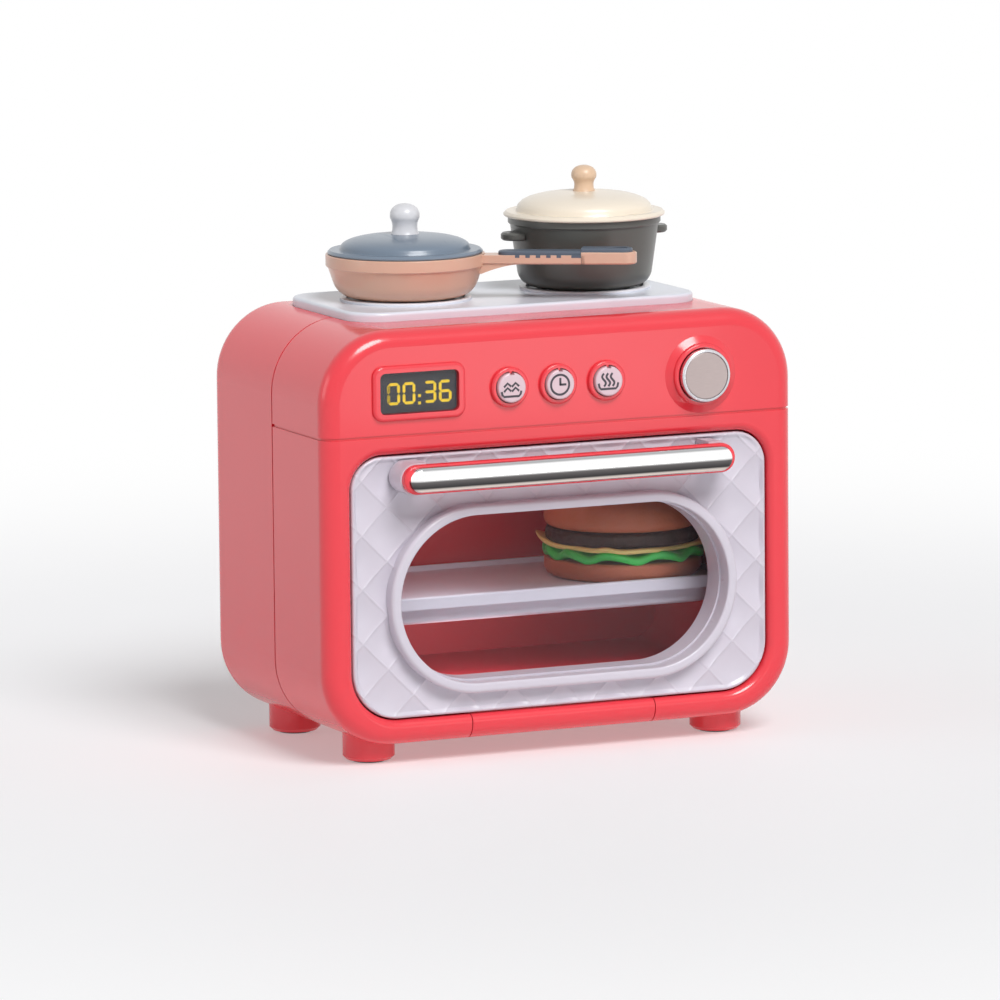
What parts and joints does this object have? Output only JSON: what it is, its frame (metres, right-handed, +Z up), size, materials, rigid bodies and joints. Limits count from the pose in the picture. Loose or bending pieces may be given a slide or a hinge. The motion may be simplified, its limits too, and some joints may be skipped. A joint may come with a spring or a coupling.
{
  "type": "toy microwave oven",
  "caption": "Toy microwave oven with a drop-down quilted door, a panel of push buttons, a hob with a lidded pan and pot, and a toy burger on the shelf.",
  "frame": {"origin": "middle of the overall box at the surface that the toy stands on", "axes": "+X to the right seen from the front, +Y to the back, +Z up"},
  "size_m": [0.1474, 0.0948, 0.1635],
  "materials": {
    "casing": "glossy moulded coral red",
    "door_shell": "glossy moulded lilac white with a quilted face",
    "door_inner": "glossy moulded lilac grey",
    "window": "clear moulded pane",
    "liner": "dark red moulded wall",
    "shelf": "pale lilac moulded tray",
    "lamp_lens": "milky lens",
    "lamp_led": "clear resin",
    "circuit_board": "solder mask over glass fibre",
    "board_parts": "black epoxy and headers",
    "steel": "plated steel",
    "handle_white": "glossy white",
    "trim_red": "glossy coral red",
    "handle_metal": "metallised moulding",
    "display_lens": "smoked window",
    "display_card": "dark grey card",
    "display_digits": "yellow seven-part digits",
    "buttons": "satin lilac grey with dark pictures",
    "start_rim": "metallised moulding",
    "start_disc": "brushed disc",
    "rubber_pad": "soft moulded pad",
    "foot_rubber": "matt anti-slip pad",
    "battery_box": "plain moulded box",
    "cells": "sleeved steel can",
    "contacts": "nickel-plated spring steel",
    "speaker": "black frame and cone",
    "hob": "glossy lilac white with white rings",
    "pan": "satin peach",
    "pan_inlay": "dark grey strip",
    "pan_lid": "satin slate blue",
    "pan_knob": "satin pale grey",
    "pot": "satin dark olive grey",
    "pot_lid": "satin cream",
    "pot_knob": "satin tan",
    "bun": "matt baked orange brown",
    "lettuce": "matt leaf green",
    "cheese": "matt cream yellow",
    "patty": "matt dark brown"
  },
  "bodies": {
    "oven_body": {"front_casing": "casing", "rear_casing": "casing", "casing_screws": "steel", "feet": "casing", "foot_pads": "foot_rubber", "oven_liner": "liner", "lamp_lens": "lamp_lens", "lamp_led": "lamp_led", "lamp_board": "circuit_board", "shelf": "shelf", "hinge_pin": "steel", "display_lens": "display_lens", "display_card": "display_card", "display_digits": "display_digits", "button_pad": "rubber_pad", "control_board": "circuit_board", "board_parts": "board_parts", "board_screws": "steel", "battery_box": "battery_box", "batteries": "cells", "battery_contacts": "contacts", "battery_cover": "casing", "battery_cover_screw": "steel", "speaker": "speaker", "hob_plate": "hob"},
    "door": {"door_front": "door_shell", "door_inner_frame": "door_inner", "door_window": "window", "door_screws": "steel", "hinge_knuckle": "casing", "hinge_screws": "steel", "handle_posts": "handle_white", "handle_backing": "trim_red", "handle_bar": "handle_metal", "handle_screws": "steel"},
    "grill_button": {"button_grill": "buttons"},
    "timer_button": {"button_timer": "buttons"},
    "steam_button": {"button_steam": "buttons"},
    "start_button": {"start_button": "start_rim", "start_button_disc": "start_disc"},
    "frying_pan": {"frying_pan": "pan", "pan_handle_inlay": "pan_inlay"},
    "pan_lid": {"pan_lid": "pan_lid", "pan_lid_knob": "pan_knob"},
    "pot": {"pot": "pot"},
    "pot_lid": {"pot_lid": "pot_lid", "pot_lid_knob": "pot_knob"},
    "burger": {"bun_bottom": "bun", "lettuce": "lettuce", "cheese": "cheese", "patty": "patty", "bun_top": "bun"}
  },
  "joints": [
    {"name": "door_hinge", "type": "hinge", "parent": "oven_body", "child": "door", "pos_m": [0, -0.0336, 0.0107], "axis": [1, 0, 0], "range_deg": [0, 80]},
    {"name": "grill_button_press", "type": "slide", "parent": "oven_body", "child": "grill_button", "axis": [0, 1, 0], "range_m": [0, 0.0012], "stiffness_N_per_m": 150, "springref_m": -0.0008},
    {"name": "timer_button_press", "type": "slide", "parent": "oven_body", "child": "timer_button", "axis": [0, 1, 0], "range_m": [0, 0.0012], "stiffness_N_per_m": 150, "springref_m": -0.0008},
    {"name": "steam_button_press", "type": "slide", "parent": "oven_body", "child": "steam_button", "axis": [0, 1, 0], "range_m": [0, 0.0012], "stiffness_N_per_m": 150, "springref_m": -0.0008},
    {"name": "start_button_press", "type": "slide", "parent": "oven_body", "child": "start_button", "axis": [0, 1, 0], "range_m": [0, 0.0015], "stiffness_N_per_m": 200, "springref_m": -0.0008},
    {"name": "frying_pan_lift", "type": "slide", "parent": "oven_body", "child": "frying_pan", "axis": [0, 0, 1], "range_m": [0, 0.03]},
    {"name": "pan_lid_lift", "type": "slide", "parent": "frying_pan", "child": "pan_lid", "axis": [0, 0, 1], "range_m": [0, 0.03]},
    {"name": "pot_lift", "type": "slide", "parent": "oven_body", "child": "pot", "axis": [0, 0, 1], "range_m": [0, 0.03]},
    {"name": "pot_lid_lift", "type": "slide", "parent": "pot", "child": "pot_lid", "axis": [0, 0, 1], "range_m": [0, 0.03]},
    {"name": "burger_lift", "type": "slide", "parent": "oven_body", "child": "burger", "axis": [0, 0, 1], "range_m": [0, 0.008]}
  ]
}
